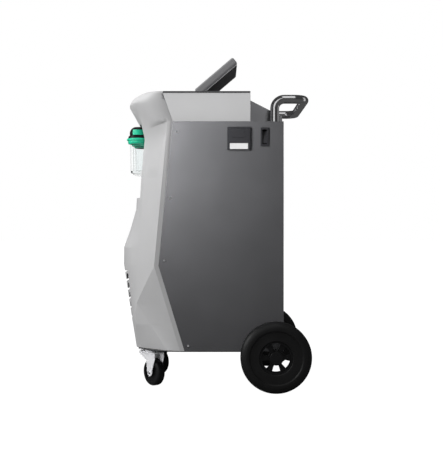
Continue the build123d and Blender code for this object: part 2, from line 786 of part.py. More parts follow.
clamp_block = inner_half - handle_x + handle_tube / 2 + 4
with BuildPart() as handle_clamps:
    for side in (-1, 1):
        for z in (handle_foot + 40, body_top - 70):
            with Locations((side * inner_half, handle_y, z)):
                Box(clamp_block, handle_tube + 12, clamp_height,
                    align=(Align.MAX if side == 1 else Align.MIN, Align.CENTER, Align.CENTER))
    for side in (-1, 1):
        with Locations((side * handle_x, handle_y, handle_foot)):
            Cylinder(handle_tube / 2, handle_height - handle_foot, align=(Align.CENTER, Align.CENTER, Align.MIN),
                     mode=Mode.SUBTRACT)
save(handle_clamps, "handle_clamps")

# Sheet-metal hood behind the console, with a flat shelf that the handle legs pass through
hood_profile = [
    (console_back, body_top), (console_back, rear_hood_front_height),
    (console_back + 4, rear_hood_front_height), (body_back - 3, rear_hood_back_height),
    (body_back - sheet, body_top),
]
with BuildPart() as rear_hood:
    with BuildSketch(Plane.YZ.offset(-rear_hood_half_width)):
        with BuildLine():
            Polyline(hood_profile, close=True)
        make_face()
    extrude(amount=2 * rear_hood_half_width)
    inside_faces = [rear_hood.faces().sort_by(Axis.Z)[0], rear_hood.faces().sort_by(Axis.Y)[0]]
    offset(amount=-sheet, openings=inside_faces)
    with Locations((0, body_back - sheet, body_top - sheet)):
        Box(2 * inner_half, body_back - sheet - console_back, sheet,
            align=(Align.CENTER, Align.MAX, Align.MIN))
        Box(2 * (rear_hood_half_width - sheet), body_back - 2 * sheet - console_back - 2, 3 * sheet,
            align=(Align.CENTER, Align.MAX, Align.CENTER), mode=Mode.SUBTRACT)
    for side in (-1, 1):
        with Locations((side * handle_x, handle_y, body_top - 2 * sheet)):
            Cylinder(handle_tube / 2 + gap, 4 * sheet, align=(Align.CENTER, Align.CENTER, Align.MIN),
                     mode=Mode.SUBTRACT)
        with Locations((side * inner_half, body_back - sheet, body_top - 2 * sheet)):
            Box(2 * back_flange, 2 * sheet, 4 * sheet, align=(Align.CENTER, Align.MAX, Align.MIN),
                mode=Mode.SUBTRACT)
save(rear_hood, "rear_hood")

# Bottle bay: a manifold with three domed heads, lock rings, release buttons and clear bottles
bottle_places = [(step * bottle_pitch, str(step + 2)) for step in (-1, 0, 1)]
head_radius = head_diameter / 2
ring_radius = ring_diameter / 2
bottle_radius = bottle_diameter / 2
ring_top = ring_bottom + ring_height
neck_radius = bottle_radius - 3
button_middle = ring_top + 22
button_radius = head_radius - 1
stem_half = 14.0
manifold_bottom = ring_top + 3

pocket_bottom = button_middle - button_height / 2 - gap
head_profile = [
    (0, ring_top - 8), (neck_radius + 1, ring_top - 8), (neck_radius + 1, ring_top + gap),
    (head_radius + 3, ring_top + gap), (head_radius + 1, ring_top + 9), (head_radius - 4, ring_top + 12),
]
with BuildPart() as bottle_manifold:
    with Locations((0, niche_back, manifold_bottom)):
        Box(2 * bottle_pitch + 76, 14, head_top - 10 - manifold_bottom,
            align=(Align.CENTER, Align.MAX, Align.MIN))
    for x, number in bottle_places:
        with BuildSketch(Plane((x, bottle_y, 0), x_dir=(1, 0, 0), z_dir=(0, -1, 0))):
            with BuildLine():
                Polyline(head_profile)
                ThreePointArc(head_profile[-1], (head_radius - 8, head_top - 9), (head_radius - 20, head_top))
                Polyline((head_radius - 20, head_top), (0, head_top), head_profile[0])
            make_face()
        revolve(axis=Axis((x, bottle_y, 0), (0, 0, 1)))
        with Locations((x, niche_back - 10, manifold_bottom + 14)):
            Box(2 * stem_half, niche_back - 10 - bottle_y, 20, align=(Align.CENTER, Align.MAX, Align.MIN))
    for x, number in bottle_places:
        with BuildSketch(Plane((x, bottle_y, pocket_bottom))):
            with Locations((head_radius, 0)):
                Rectangle(2 * (button_depth + 3 + button_travel + gap), 2 * head_radius)
        extrude(amount=button_height + 2 * gap, mode=Mode.SUBTRACT)
save(bottle_manifold, "bottle_manifold")

for x, number in bottle_places:
    with BuildPart() as lock_ring:
        with BuildSketch(Plane((x, bottle_y, 0), x_dir=(1, 0, 0), z_dir=(0, -1, 0))):
            with BuildLine():
                inner = bottle_radius + gap
                Polyline((inner, ring_bottom + 3), (inner, ring_top), (ring_radius - 2, ring_top),
                         (ring_radius, ring_top - 2), (ring_radius, ring_top - 7),
                         (ring_radius - 4, ring_top - 9), (ring_radius - 4, ring_bottom + 6),
                         (ring_radius - 6, ring_bottom + 1), (ring_radius - 8, ring_bottom),
                         (inner + 2, ring_bottom), close=True)
            make_face()
        revolve(axis=Axis((x, bottle_y, 0), (0, 0, 1)))
    save(lock_ring, f"lock_ring_{number}")

    with BuildPart() as bottle:
        with BuildSketch(Plane((x, bottle_y, 0), x_dir=(1, 0, 0), z_dir=(0, -1, 0))):
            with BuildLine():
                Line((0, bottle_bottom + 3), (bottle_radius - 7, bottle_bottom))
                ThreePointArc((bottle_radius - 7, bottle_bottom), (bottle_radius - 3.2, bottle_bottom + 2),
                              (bottle_radius - 2, bottle_bottom + 6))
                Polyline((bottle_radius - 2, bottle_bottom + 6), (bottle_radius, ring_bottom + 2),
                         (bottle_radius, ring_top - gap), (neck_radius + 1 + gap, ring_top - gap),
                         (neck_radius + 1 + gap, ring_top - 12), (bottle_radius - bottle_wall, ring_bottom - 4),
                         (bottle_radius - 2 - bottle_wall, bottle_bottom + 9), (0, bottle_bottom + 7),
                         (0, bottle_bottom + 3))
            make_face()
        revolve(axis=Axis((x, bottle_y, 0), (0, 0, 1)))
    save(bottle, f"bottle_{number}")

    with BuildPart() as release_button:
        with BuildSketch(Plane((x, bottle_y, button_middle - button_height / 2))):
            Circle(button_radius)
            with Locations((-button_depth, 0)):
                Rectangle(2 * (head_radius - 3), 4 * head_radius, mode=Mode.SUBTRACT)
        extrude(amount=button_height)
    save(release_button, f"release_button_{number}")

# Printer in the right panel: housing with lip, top-hinged door with its latch button, paper roll
door_top = printer_z + printer_size / 2 - 5
door_bottom = printer_z - 16.5
door_half = printer_size / 2 - 4
door_thickness = printer_lip - 0.5
door_x = half_width + printer_lip
door_pin_x = door_x - door_thickness / 2
door_pin_z = door_top - door_thickness / 2
door_pin_radius = 1.1
door_pin_length = 1.8
latch_z = door_top - 3 - latch_height / 2
roll_radius = paper_roll_diameter / 2
roll_x = half_width - 26
roll_z = printer_z - 2
facing_right = Plane((half_width, 0, 0), x_dir=(0, 1, 0), z_dir=(1, 0, 0))
paper = 0.6
slot_height = 5.0

with BuildPart() as printer_housing:
    with BuildSketch(facing_right):
        with Locations((printer_y, printer_z)):
            RectangleRounded(printer_size, printer_size, 3)
    extrude(amount=printer_lip)
    with BuildSketch(facing_right):
        with Locations((printer_y, printer_z)):
            Rectangle(printer_cut - 2 * gap, printer_cut - 2 * gap)
    extrude(amount=-printer_depth)
    with BuildSketch(facing_right.offset(printer_lip)):
        with Locations((printer_y, (door_top + door_bottom) / 2)):
            Rectangle(2 * door_half + 2 * gap, door_top - door_bottom + 2 * gap)
    extrude(amount=-door_thickness - gap, mode=Mode.SUBTRACT)
    with BuildSketch(facing_right.offset(printer_lip)):
        with Locations((printer_y, (door_top - 8 + door_bottom - slot_height) / 2)):
            Rectangle(paper_width + 3, door_top - 8 - door_bottom + slot_height)
    extrude(amount=-printer_lip - 4, mode=Mode.SUBTRACT)
    with BuildSketch(facing_right.offset(-3)):
        with Locations((printer_y, roll_z)):
            Rectangle(paper_width + 3, paper_roll_diameter + 6)
    extrude(amount=5 - printer_depth, mode=Mode.SUBTRACT)
    with BuildSketch(Plane.XZ.offset(-printer_y)):
        with Locations((roll_x, roll_z)):
            Circle(5.5)
    extrude(amount=paper_width / 2 + 3, both=True)
    with BuildSketch(Plane.XZ.offset(-printer_y)):
        with Locations((door_pin_x, door_pin_z)):
            Circle(door_pin_radius + running_clearance)
    extrude(amount=door_half + door_pin_length + gap, both=True, mode=Mode.SUBTRACT)
save(printer_housing, "printer_housing")

with BuildPart() as printer_door:
    with BuildSketch(facing_right.offset(printer_lip - door_thickness)):
        with Locations((printer_y, (door_top + door_bottom) / 2)):
            Rectangle(2 * door_half, door_top - door_bottom)
    extrude(amount=door_thickness)
    fillet(printer_door.edges().filter_by(Axis.Y).group_by(Axis.Z)[-1], door_thickness / 2 - 0.02)
    with BuildSketch(Plane.XZ.offset(-printer_y)):
        with Locations((door_pin_x, door_pin_z)):
            Circle(door_pin_radius)
    extrude(amount=door_half + door_pin_length, both=True)
    with BuildSketch(facing_right.offset(printer_lip)):
        with Locations((printer_y, latch_z)):
            Rectangle(latch_width + 2 * gap, latch_height + 2 * gap)
    extrude(amount=-2.5 - gap, mode=Mode.SUBTRACT)
save(printer_door, "printer_door")

with BuildPart() as printer_latch:
    with BuildSketch(facing_right.offset(printer_lip - 1)):
        with Locations((printer_y, latch_z)):
            Rectangle(latch_width, latch_height)
    extrude(amount=1.4)
save(printer_latch, "printer_latch")

tongue_top = door_bottom - 1.2
tongue_foot = printer_z - printer_size / 2 + 3
tongue_x = door_x + gap + paper
with BuildPart() as paper_roll:
    with BuildSketch(Plane((0, printer_y, 0), x_dir=(1, 0, 0), z_dir=(0, 1, 0))):
        with Locations((roll_x, -roll_z)):
            Circle(roll_radius)
            Circle(6, mode=Mode.SUBTRACT)
        with BuildLine():
            Polyline((roll_x, -roll_z + roll_radius - paper), (tongue_x, -tongue_top),
                     (tongue_x, -tongue_foot), (tongue_x - paper, -tongue_foot),
                     (tongue_x - paper, -tongue_top + paper), (roll_x, -roll_z + roll_radius), close=True)
        make_face()
    extrude(amount=paper_width / 2, both=True)
save(paper_roll, "paper_roll")

# Power switch: a recessed frame with its rocker on a pin
switch_depth = 16.0
rocker_width = switch_width - 13
rocker_height = switch_height - 22
rocker_pin_x = half_width - 7
rocker_pin_radius = 1.5
with BuildPart() as switch_frame:
    with BuildSketch(facing_right):
        with Locations((switch_y, switch_z)):
            RectangleRounded(switch_width, switch_height, 2.5)
    extrude(amount=switch_lip)
    with BuildSketch(facing_right):
        with Locations((switch_y, switch_z)):
            Rectangle(switch_cut_width - 2 * gap, switch_cut_height - 2 * gap)
    extrude(amount=-switch_depth - 3)
    with BuildSketch(facing_right.offset(switch_lip)):
        with Locations((switch_y, switch_z)):
            RectangleRounded(rocker_width + 2 * gap, rocker_height + 8, 1)
    extrude(amount=-switch_depth - switch_lip, mode=Mode.SUBTRACT)
    with BuildSketch(Plane.XZ.offset(-switch_y)):
        with Locations((rocker_pin_x, switch_z)):
            Circle(rocker_pin_radius)
    extrude(amount=(switch_width - 9) / 2, both=True)
save(switch_frame, "switch_frame")

rocker_out = half_width + 1
with BuildPart() as power_rocker:
    with BuildSketch(Plane.XZ.offset(-switch_y)):
        with BuildLine():
            Polyline((rocker_out - 9, switch_z + rocker_height / 2), (rocker_out - 3, switch_z),
                     (rocker_out, switch_z - rocker_height / 2), (rocker_out - 5, switch_z - rocker_height / 2),
                     (rocker_pin_x - 4, switch_z), (rocker_out - 13, switch_z + rocker_height / 2), close=True)
        make_face()
        with Locations((rocker_pin_x, switch_z)):
            Circle(rocker_pin_radius + running_clearance, mode=Mode.SUBTRACT)
    extrude(amount=rocker_width / 2, both=True)
save(power_rocker, "power_rocker")

# Back panel with its bank of louvers, the mains inlet and the two service ports in their recess
back_top = body_top - sheet
louver_start = fan_z - (back_louver_count - 1) / 2 * back_louver_pitch
facing_back = Plane((0, body_back - sheet, 0), x_dir=(-1, 0, 0), z_dir=(0, 1, 0))

with BuildPart() as back_panel:
    with BuildSketch(facing_back):
        with Locations((0, (back_top + shelf_bottom) / 2)):
            Rectangle(2 * (inner_half - back_flange) + 2 * sheet, back_top - shelf_bottom)
        for step in range(back_louver_count):
            with Locations((0, louver_start + step * back_louver_pitch)):
                Rectangle(back_louver_width, 9, mode=Mode.SUBTRACT)
        with Locations((-inlet_x, inlet_z)):
            Rectangle(28, 20, mode=Mode.SUBTRACT)
        with Locations((-inlet_x, port_z)):
            Rectangle(port_bay_width, port_bay_height, mode=Mode.SUBTRACT)
    extrude(amount=sheet)
    with BuildSketch(facing_back):
        with Locations((-inlet_x, port_z)):
            Rectangle(port_bay_width + 2 * sheet, port_bay_height + 2 * sheet)
            Rectangle(port_bay_width, port_bay_height, mode=Mode.SUBTRACT)
    extrude(amount=-port_recess)
    with BuildSketch(facing_back.offset(-port_recess)):
        with Locations((-inlet_x, port_z)):
            Rectangle(port_bay_width + 2 * sheet, port_bay_height + 2 * sheet)
    extrude(amount=sheet)
    for step in range(back_louver_count):
        foot = louver_start + step * back_louver_pitch - 4.5
        with BuildSketch(Plane.YZ.offset(-back_louver_width / 2)):
            with BuildLine():
                Polyline((body_back - sheet, foot + 13), (body_back, foot + 13), (body_back + 7, foot + 1),
                         (body_back + 7, foot - 1), (body_back + 5, foot - 1),
                         (body_back - sheet, foot + 10), close=True)
            make_face()
        extrude(amount=back_louver_width)
save(back_panel, "back_panel")

with BuildPart() as mains_inlet:
    with BuildSketch(facing_back.offset(sheet)):
        with Locations((-inlet_x, inlet_z)):
            RectangleRounded(38, 30, 4)
    extrude(amount=3)
    with BuildSketch(facing_back.offset(sheet)):
        with Locations((-inlet_x, inlet_z)):
            Rectangle(27, 19.4)
    extrude(amount=-22)
    with BuildSketch(facing_back.offset(sheet + 3)):
        with Locations((-inlet_x, inlet_z)):
            RectangleRounded(24.4, 16.6, 3)
    extrude(amount=-17, mode=Mode.SUBTRACT)
    with BuildSketch(facing_back.offset(sheet - 14)):
        with Locations((-inlet_x - 7, inlet_z - 2), (-inlet_x, inlet_z + 2), (-inlet_x + 7, inlet_z - 2)):
            Rectangle(2, 4)
    extrude(amount=13)
save(mains_inlet, "mains_inlet")

port_plane = facing_back.offset(sheet - port_recess)
with BuildPart() as service_ports:
    with BuildSketch(port_plane):
        with Locations((-inlet_x, port_z)):
            RectangleRounded(port_spacing + 36, 40, 5)
    extrude(amount=5)
    for step in (-0.5, 0.5):
        place = (-inlet_x + step * port_spacing, port_z)
        with BuildSketch(port_plane.offset(5)):
            with Locations(place):
                RegularPolygon(9, 6, major_radius=False)
        extrude(amount=8)
        with BuildSketch(port_plane.offset(13)):
            with Locations(place):
                Circle(port_diameter / 2)
        extrude(amount=port_length)
        with BuildSketch(port_plane.offset(13 + port_length)):
            with Locations(place):
                Circle(2.4)
        extrude(amount=-port_length, mode=Mode.SUBTRACT)
save(service_ports, "service_ports")

# Fan in its shroud behind the louvers, with the condenser in front of it
shroud_back = body_back - sheet
fan_radius = fan_diameter / 2
motor_radius = 24.0
blade_tip = fan_radius - 6
with BuildPart() as fan_shroud:
    with BuildSketch(facing_back):
        with Locations((0, fan_z)):
            Rectangle(shroud_size, shroud_size)
            Circle(fan_radius, mode=Mode.SUBTRACT)
    extrude(amount=-shroud_depth)
    with BuildSketch(facing_back.offset(-shroud_depth)):
        with Locations((0, fan_z)):
            Rectangle(2 * fan_radius + 4, 10)
            Rectangle(10, 2 * fan_radius + 4)
            Circle(motor_radius)
    extrude(amount=4)
    with BuildSketch(facing_back.offset(-shroud_depth + 4)):
        with Locations((0, fan_z)):
            Circle(4)
    extrude(amount=shroud_depth - 8)
save(fan_shroud, "fan_shroud")

with BuildPart() as fan_rotor:
    with BuildSketch(facing_back.offset(-shroud_depth + 4 + gap)):
        with Locations((0, fan_z)):
            Circle(motor_radius)
    extrude(amount=shroud_depth - 10)
    for step in range(fan_blades):
        turn = 2 * pi * step / fan_blades
        root_point = Vector(0, body_back - sheet - shroud_depth / 2, fan_z)
        out = Vector(sin(turn), 0, cos(turn))
        blade_plane = Plane(root_point + out * (motor_radius - 4), z_dir=out,
                            x_dir=out.cross(Vector(0, 1, 0)) + Vector(0, 0.35, 0))
        with BuildSketch(blade_plane):
            Rectangle(30, 2)
        with BuildSketch(blade_plane.offset(blade_tip - motor_radius + 4)):
            Rectangle(44, 2)
        loft()
    with BuildSketch(facing_back.offset(-shroud_depth)):
        with Locations((0, fan_z)):
            Circle(4 + running_clearance)
    extrude(amount=shroud_depth, mode=Mode.SUBTRACT)
save(fan_rotor, "fan_rotor")

condenser_depth = 24.0
fin_pitch = 12.0
tube_rows = 9
with BuildPart() as condenser:
    with BuildSketch(facing_back.offset(-shroud_depth)):
        with Locations((0, fan_z)):
            Rectangle(shroud_size, shroud_size)
            Rectangle(shroud_size - 8, shroud_size - 8, mode=Mode.SUBTRACT)
            for step in range(-8, 9):
                with Locations((step * fin_pitch, 0)):
                    Rectangle(2, shroud_size - 6)
            for step in range(tube_rows):
                with Locations((0, (step - (tube_rows - 1) / 2) * fin_pitch * 2)):
                    Rectangle(shroud_size - 6, 7)
    extrude(amount=-condenser_depth)
save(condenser, "condenser")

# Bulkhead across the body, carrying the valve block, filter drier and control box
bulkhead_sheet = 2.0
bulkhead_top = body_top - 4
facing_front = Plane((0, bulkhead_y, 0), x_dir=(1, 0, 0), z_dir=(0, -1, 0))

with BuildPart() as bulkhead:
    with BuildSketch(facing_front):
        with Locations((0, (tray_top + bulkhead_top) / 2)):
            Rectangle(2 * inner_half - 2 * cover_wall - 2 * gap, bulkhead_top - tray_top)
    extrude(amount=-bulkhead_sheet)
    with Locations((0, bulkhead_y, tray_top)):
        Box(2 * inner_half - 60, 18, bulkhead_sheet, align=(Align.CENTER, Align.MIN, Align.MIN))
save(bulkhead, "bulkhead")

valve_z = 620.0
valve_count = 5
valve_pitch = 50.0
with BuildPart() as valve_block:
    with Locations((0, bulkhead_y, valve_z)):
        Box(valve_count * valve_pitch + 20, 40, 44, align=(Align.CENTER, Align.MAX, Align.CENTER))
    for step in range(valve_count):
        x = (step - (valve_count - 1) / 2) * valve_pitch
        with Locations((x, bulkhead_y - 20, valve_z + 22)):
            Cylinder(7, 10, align=(Align.CENTER, Align.CENTER, Align.MIN))
            Box(30, 34, 38, align=(Align.CENTER, Align.CENTER, Align.MIN))
        with Locations((x, bulkhead_y - 40, valve_z)):
            Cylinder(8, 12, rotation=(90, 0, 0), align=(Align.CENTER, Align.CENTER, Align.MIN))
save(valve_block, "valve_block")

drier_radius = 35.0
drier_x = 160.0
drier_z = 400.0
drier_length = 130.0
drier_y = bulkhead_y - drier_radius - 6
with BuildPart() as filter_drier:
    with BuildSketch(Plane.XY.offset(drier_z)):
        with Locations((drier_x, drier_y)):
            Circle(drier_radius)
    extrude(amount=drier_length)
    fillet(filter_drier.edges().filter_by(GeomType.CIRCLE), 8)
    with Locations((drier_x, drier_y, drier_z)):
        Cylinder(5, drier_length + 50, align=(Align.CENTER, Align.CENTER, Align.CENTER))
    with Locations((drier_x, bulkhead_y, drier_z + drier_length / 2)):
        Box(50, drier_radius - 5, 24, align=(Align.CENTER, Align.MAX, Align.CENTER))
save(filter_drier, "filter_drier")

control_x = 60.0
control_z = 760.0
control_width = 260.0
control_depth = 60.0
control_height = 180.0
with BuildPart() as control_box:
    with Locations((control_x, bulkhead_y + bulkhead_sheet, control_z)):
        Box(control_width, control_depth, control_height, align=(Align.CENTER, Align.MIN, Align.CENTER))
    chamfer(control_box.edges().filter_by(Axis.Y), 4)
save(control_box, "control_box")

# Refrigerant tank on its scale
tank_radius = tank_diameter / 2
scale_top = tray_top + scale_height
foot_ring = 18.0
tank_collar = 40.0
valve_radius = 9.0
with BuildPart() as tank_scale:
    with Locations((tank_x, tank_y, scale_top)):
        Box(tank_diameter + 14, tank_diameter + 14, 5, align=(Align.CENTER, Align.CENTER, Align.MAX))
        Box(60, 130, scale_height, align=(Align.CENTER, Align.CENTER, Align.MAX))
save(tank_scale, "tank_scale")

shell_bottom = scale_top + foot_ring
shell_top = scale_top + tank_height - tank_collar
tank_wall = 4.0


def tank_profile(inset, bottom_round, top_round):
    # Half section of the shell, turned about the tank's axis
    with BuildSketch(Plane((tank_x, tank_y, 0), x_dir=(1, 0, 0), z_dir=(0, -1, 0)), mode=Mode.PRIVATE) as section:
        radius, low, high = tank_radius - inset, shell_bottom + inset, shell_top - inset
        with BuildLine():
            Line((0, low), (radius - bottom_round, low))
            RadiusArc((radius - bottom_round, low), (radius, low + bottom_round), -bottom_round)
            Line((radius, low + bottom_round), (radius, high - top_round))
            RadiusArc((radius, high - top_round), (radius - top_round, high), -top_round)
            Line((radius - top_round, high), (0, high))
            Line((0, high), (0, low))
        make_face()
    return section.sketch


with BuildPart() as tank_hollow:
    revolve(tank_profile(tank_wall, 36, 46), axis=Axis((tank_x, tank_y, 0), (0, 0, 1)))

with BuildPart() as refrigerant_tank:
    revolve(tank_profile(0, 40, 50), axis=Axis((tank_x, tank_y, 0), (0, 0, 1)))
    add(tank_hollow.part, mode=Mode.SUBTRACT)
    with BuildSketch(Plane((tank_x, tank_y, scale_top))):
        Circle(tank_radius - 26)
        Circle(tank_radius - 30, mode=Mode.SUBTRACT)
    extrude(amount=foot_ring + 12)
    with BuildSketch(Plane((tank_x, tank_y, shell_top - 12))):
        Circle(tank_radius - 34)
        Circle(tank_radius - 37, mode=Mode.SUBTRACT)
        with Locations((0, 0)):
            Rectangle(tank_diameter, 90, mode=Mode.SUBTRACT)
    extrude(amount=52)
    with BuildSketch(Plane((tank_x, tank_y, shell_top - tank_wall / 2))):
        with Locations((-22, 0), (22, 0)):
            Circle(valve_radius)
    extrude(amount=34)
save(refrigerant_tank, "refrigerant_tank")

# Vacuum pump and compressor standing on the tray
pump_x = 120.0
pump_y = 40.0
pump_width = 110.0
pump_height = 150.0
motor_radius = 55.0
motor_length = 130.0
with BuildPart() as vacuum_pump:
    with Locations((pump_x, pump_y, tray_top)):
        Box(pump_width + 10, 220, 12, align=(Align.CENTER, Align.CENTER, Align.MIN))
    with Locations((pump_x, pump_y - 60, tray_top + 10)):
        Box(pump_width, 90, pump_height, align=(Align.CENTER, Align.CENTER, Align.MIN))
    with Locations((pump_x, pump_y - 20, tray_top + motor_radius + 30)):
        Cylinder(motor_radius, motor_length, rotation=(-90, 0, 0), align=(Align.CENTER, Align.CENTER, Align.MIN))
    with Locations((pump_x, pump_y + 60, tray_top + 11)):
        Box(60, 30, 40, align=(Align.CENTER, Align.CENTER, Align.MIN))
    with Locations((pump_x, pump_y - 60, tray_top + pump_height + 8)):
        Cylinder(10, 30, align=(Align.CENTER, Align.CENTER, Align.MIN))
save(vacuum_pump, "vacuum_pump")

compressor_x = -90.0
compressor_y = -180.0
compressor_radius = 60.0
compressor_height = 180.0
with BuildPart() as compressor:
    with Locations((compressor_x, compressor_y, tray_top)):
        Box(2 * compressor_radius + 30, 60, 8, align=(Align.CENTER, Align.CENTER, Align.MIN))
    with BuildSketch(Plane((compressor_x, compressor_y, tray_top + 7))):
        Circle(compressor_radius)
    extrude(amount=compressor_height)
    fillet(compressor.edges().filter_by(GeomType.CIRCLE).sort_by(Axis.Z)[-1:], 30)
    with Locations((compressor_x + compressor_radius - 4, compressor_y, tray_top + 70)):
        Box(24, 40, 50, align=(Align.CENTER, Align.CENTER, Align.MIN))
save(compressor, "compressor")
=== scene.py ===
# Air conditioning recharge station: finishes and fine shapes around the fixed frame
import json
from math import cos, radians, sin
import bmesh
import bpy
import numpy as np
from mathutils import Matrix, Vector
from mathutils.bvhtree import BVHTree


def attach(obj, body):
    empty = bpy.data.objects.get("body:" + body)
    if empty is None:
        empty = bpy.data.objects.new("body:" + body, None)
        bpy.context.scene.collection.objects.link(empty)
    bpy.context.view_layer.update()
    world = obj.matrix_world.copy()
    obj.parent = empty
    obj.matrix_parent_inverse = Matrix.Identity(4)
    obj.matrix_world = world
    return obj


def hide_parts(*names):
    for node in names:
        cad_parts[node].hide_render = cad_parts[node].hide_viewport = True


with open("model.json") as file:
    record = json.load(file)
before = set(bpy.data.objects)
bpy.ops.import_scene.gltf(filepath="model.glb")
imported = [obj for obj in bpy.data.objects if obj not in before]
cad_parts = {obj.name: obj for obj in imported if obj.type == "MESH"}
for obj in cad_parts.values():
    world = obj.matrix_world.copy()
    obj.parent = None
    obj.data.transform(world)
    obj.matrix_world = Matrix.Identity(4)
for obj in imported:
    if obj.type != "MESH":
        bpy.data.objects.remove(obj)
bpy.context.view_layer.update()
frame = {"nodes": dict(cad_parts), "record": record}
nodes = frame["nodes"]
print("frame loaded:", len(nodes), "nodes")

scene = bpy.context.scene
scene.view_settings.view_transform = "Standard"

# Camera where the photograph was taken from, level with the middle of the machine
cameraSet = {"place": (3.584, 0.029, 0.589), "turn": (90, 0, 90), "lens": 74.53}
cameraData = bpy.data.cameras.new("viewCamera")
cameraData.lens = cameraSet["lens"]
camera = bpy.data.objects.new("viewCamera", cameraData)
camera.location = cameraSet["place"]
camera.rotation_euler = [radians(a) for a in cameraSet["turn"]]
scene.collection.objects.link(camera)
scene.camera = camera
print("camera placed")


# Small helpers for building node trees
def newMaterial(name):
    material = bpy.data.materials.new(name)
    material.use_nodes = True
    tree = material.node_tree
    shader = tree.nodes["Principled BSDF"]
    return material, tree, shader


def place(tree, kind, **values):
    node = tree.nodes.new(kind)
    for key, value in values.items():
        if key in node.inputs:
            node.inputs[key].default_value = value
        else:
            setattr(node, key, value)
    return node


def spot(tree):
    # Object coordinates are the frame's own metres, so grain keeps its real size
    return place(tree, "ShaderNodeTexCoord").outputs["Object"]


def noise(tree, scale, detail=3.0, roughness=0.5, stretch=None):
    source = spot(tree)
    if stretch:
        mapping = place(tree, "ShaderNodeMapping")
        mapping.inputs["Scale"].default_value = stretch
        tree.links.new(source, mapping.inputs["Vector"])
        source = mapping.outputs["Vector"]
    texture = place(tree, "ShaderNodeTexNoise", Scale=scale, Detail=detail, Roughness=roughness)
    tree.links.new(source, texture.inputs["Vector"])
    return texture.outputs["Fac"]


def ramp(tree, value, low, high):
    # Spreads a 0 to 1 value between two colours or two greys
    node = place(tree, "ShaderNodeValToRGB")
    node.color_ramp.elements[0].position = 0.3
    node.color_ramp.elements[1].position = 0.7
    node.color_ramp.elements[0].color = low
    node.color_ramp.elements[1].color = high
    tree.links.new(value, node.inputs["Fac"])
    return node.outputs["Color"]


def span(tree, value, low, high):
    node = place(tree, "ShaderNodeMapRange")
    node.inputs["To Min"].default_value = low
    node.inputs["To Max"].default_value = high
    tree.links.new(value, node.inputs["Value"])
    return node.outputs["Result"]


def bump(tree, shader, value, strength, distance):
    node = place(tree, "ShaderNodeBump", Strength=strength, Distance=distance)
    tree.links.new(value, node.inputs["Height"])
    tree.links.new(node.outputs["Normal"], shader.inputs["Normal"])
    return node


def shade(colour, factor):
    return tuple(min(c * factor, 1) for c in colour[:3]) + (1,)


# Materials
coatSet = {"sheet": (0.058, 0.058, 0.061), "tray": (0.02, 0.02, 0.022), "tank": (0.30, 0.34, 0.38)}


def powderCoat(name, colour, rough=0.38, grain=0.10):
    # Orange-peel powder coat with a faint unevenness of gloss
    material, tree, shader = newMaterial(name)
    peel = noise(tree, 900, 2.0)
    patch = noise(tree, 9, 3.0)
    tree.links.new(ramp(tree, patch, shade(colour, 0.95), shade(colour, 1.05)), shader.inputs["Base Color"])
    tree.links.new(span(tree, patch, rough - 0.04, rough + 0.05), shader.inputs["Roughness"])
    shader.inputs["Metallic"].default_value = 0.25
    bump(tree, shader, peel, grain, 0.0006)
    return material


def mouldedPlastic(name, colour, rough=0.45, grainScale=1500, grain=0.12, coat=0.0, shine=0.5):
    # Spark-eroded mould grain and slight tone shifts
    material, tree, shader = newMaterial(name)
    fine = noise(tree, grainScale, 2.0)
    patch = noise(tree, 6, 4.0)
    tree.links.new(ramp(tree, patch, shade(colour, 0.97), shade(colour, 1.03)), shader.inputs["Base Color"])
    tree.links.new(span(tree, fine, rough - 0.05, rough + 0.06), shader.inputs["Roughness"])
    shader.inputs["Coat Weight"].default_value = coat
    shader.inputs["Specular IOR Level"].default_value = shine
    bump(tree, shader, fine, grain, 0.0004)
    return material


def polishedChrome(name):
    material, tree, shader = newMaterial(name)
    haze = noise(tree, 60, 4.0)
    shader.inputs["Metallic"].default_value = 1.0
    shader.inputs["Base Color"].default_value = (0.78, 0.78, 0.79, 1)
    tree.links.new(span(tree, haze, 0.09, 0.13), shader.inputs["Roughness"])
    return material


def brightZinc(name, colour=(0.80, 0.80, 0.82), rough=0.3, metal=0.35):
    # Bright zinc plate with pressed-sheet streaks
    material, tree, shader = newMaterial(name)
    streak = noise(tree, 40, 4.0, 0.6, (1, 1, 9))
    shader.inputs["Metallic"].default_value = metal
    tree.links.new(ramp(tree, streak, shade(colour, 0.92), shade(colour, 1.05)), shader.inputs["Base Color"])
    tree.links.new(span(tree, streak, rough - 0.07, rough + 0.1), shader.inputs["Roughness"])
    bump(tree, shader, streak, 0.05, 0.0003)
    return material


def blackRubber(name, colour=(0.007, 0.007, 0.0075), rough=0.5):
    material, tree, shader = newMaterial(name)
    fine = noise(tree, 1100, 3.0)
    bloom = noise(tree, 14, 4.0)
    tree.links.new(ramp(tree, bloom, shade(colour, 0.8), shade(colour, 1.5)), shader.inputs["Base Color"])
    tree.links.new(span(tree, bloom, rough - 0.08, rough + 0.1), shader.inputs["Roughness"])
    bump(tree, shader, fine, 0.15, 0.0004)
    return material


def clearPlastic(name):
    material, tree, shader = newMaterial(name)
    wave = noise(tree, 30, 2.0)
    shader.inputs["Base Color"].default_value = (0.97, 0.98, 0.98, 1)
    shader.inputs["Transmission Weight"].default_value = 1.0
    shader.inputs["IOR"].default_value = 1.14
    tree.links.new(span(tree, wave, 0.0, 0.03), shader.inputs["Roughness"])
    return material


def screenGlass(name):
    material, tree, shader = newMaterial(name)
    smear = noise(tree, 12, 5.0)
    shader.inputs["Base Color"].default_value = (0.008, 0.009, 0.011, 1)
    tree.links.new(span(tree, smear, 0.05, 0.12), shader.inputs["Roughness"])
    shader.inputs["Coat Weight"].default_value = 1.0
    return material


